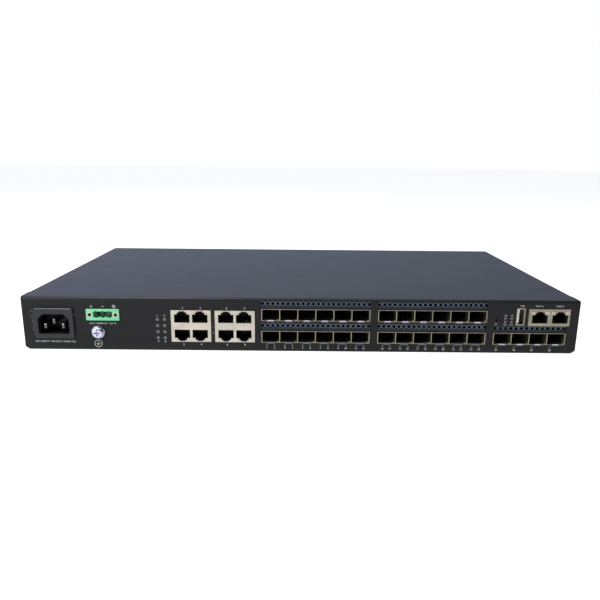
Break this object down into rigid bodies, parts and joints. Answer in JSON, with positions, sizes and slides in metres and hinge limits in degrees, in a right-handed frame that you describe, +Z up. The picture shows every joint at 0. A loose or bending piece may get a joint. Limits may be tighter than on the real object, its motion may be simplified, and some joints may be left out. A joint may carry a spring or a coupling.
{
  "type": "rackmount network switch",
  "caption": "Flat metal rack case with rows of fibre module cages, copper network jacks, mains inlet, green power header, earth screw, upright USB socket and rear fans.",
  "frame": {"origin": "under the middle of the case, on the surface it stands on", "axes": "+X to the right as seen from the front, +Y from the front panel to the rear, +Z up"},
  "size_m": [0.44, 0.2437, 0.0436],
  "materials": {
    "case_paint": "fine matt powder coat",
    "zinc_steel": "bright zinc plate",
    "inlet_plastic": "black moulded plastic",
    "blade_metal": "nickel plate",
    "header_green": "light green moulded plastic",
    "pin_metal": "tin and gold plate",
    "cage_steel": "dull nickel plate",
    "vent_steel": "dark bluish plated sheet",
    "tongue_steel": "bright nickel plate",
    "jack_nickel": "warm nickel plate",
    "jack_plastic": "black moulded plastic",
    "contact_gold": "gold plate",
    "lens_clear": "clear light pipe",
    "window_olive": "smoky light window",
    "usb_steel": "bright nickel plate",
    "usb_white": "white moulded plastic",
    "board_green": "green solder mask",
    "chip_black": "black epoxy",
    "connector_ivory": "ivory nylon",
    "sink_aluminium": "extruded aluminium",
    "capacitor_sleeve": "shrink sleeve",
    "winding_tape": "yellow tape and ferrite",
    "insulator_film": "black film",
    "mains_lead": "PVC sleeve",
    "low_lead": "PVC sleeve",
    "fan_plastic": "glass-filled plastic",
    "button_plastic": "moulded plastic",
    "screw_black": "black plate"
  },
  "bodies": {
    "case": {"ac_inlet_blades": "blade_metal", "ac_inlet_housing": "inlet_plastic", "ac_leads": "mains_lead", "board_chips": "chip_black", "board_connectors": "connector_ivory", "board_screws": "zinc_steel", "board_standoffs": "blade_metal", "cage_connectors": "chip_black", "cage_lower_left": "cage_steel", "cage_lower_right": "cage_steel", "cage_service": "cage_steel", "cage_upper_left": "cage_steel", "cage_upper_right": "cage_steel", "chassis_tray": "case_paint", "cover_screws": "screw_black", "dc_entry_board": "board_green", "dc_header_bushes": "blade_metal", "dc_header_housing": "header_green", "dc_header_pins": "pin_metal", "dc_leads": "low_lead", "ear_nuts": "zinc_steel", "earth_nut": "zinc_steel", "earth_screw": "zinc_steel", "earth_washer": "zinc_steel", "fan_frames": "fan_plastic", "fan_leads": "low_lead", "fan_screws": "screw_black", "front_panel": "case_paint", "jack_contacts": "contact_gold", "jack_insert_left": "jack_plastic", "jack_insert_right": "jack_plastic", "jack_shield_left": "jack_nickel", "jack_shield_right": "jack_nickel", "latch_tongues": "tongue_steel", "light_pipes": "lens_clear", "main_board": "board_green", "output_leads": "low_lead", "panel_rivets": "screw_black", "power_board": "board_green", "power_capacitors": "capacitor_sleeve", "power_heatsinks": "sink_aluminium", "power_insulator": "insulator_film", "power_magnetics": "winding_tape", "rear_panel": "case_paint", "reset_switch": "chip_black", "service_board": "board_green", "service_jack_insert": "jack_plastic", "service_jack_lights": "window_olive", "service_jack_shield": "jack_nickel", "switch_chip": "chip_black", "switch_heatsink": "sink_aluminium", "top_cover": "case_paint", "upper_board": "board_green", "usb_contacts": "contact_gold", "usb_shell": "usb_steel", "usb_tongue": "usb_white", "vent_strips": "vent_steel"},
    "fan_rotor_left": {"fan_rotor_left": "fan_plastic"},
    "fan_rotor_right": {"fan_rotor_right": "fan_plastic"},
    "reset_button": {"reset_button": "button_plastic"}
  },
  "joints": [
    {"name": "fan_left_spin", "type": "hinge", "parent": "case", "child": "fan_rotor_left", "pos_m": [-0.02, 0.1, 0.0211], "axis": [0, 1, 0], "continuous": true},
    {"name": "fan_right_spin", "type": "hinge", "parent": "case", "child": "fan_rotor_right", "pos_m": [0.1, 0.1, 0.0211], "axis": [0, 1, 0], "continuous": true},
    {"name": "reset_press", "type": "slide", "parent": "case", "child": "reset_button", "axis": [0, 1, 0], "range_m": [0, 0.0003], "stiffness_N_per_m": 800}
  ]
}
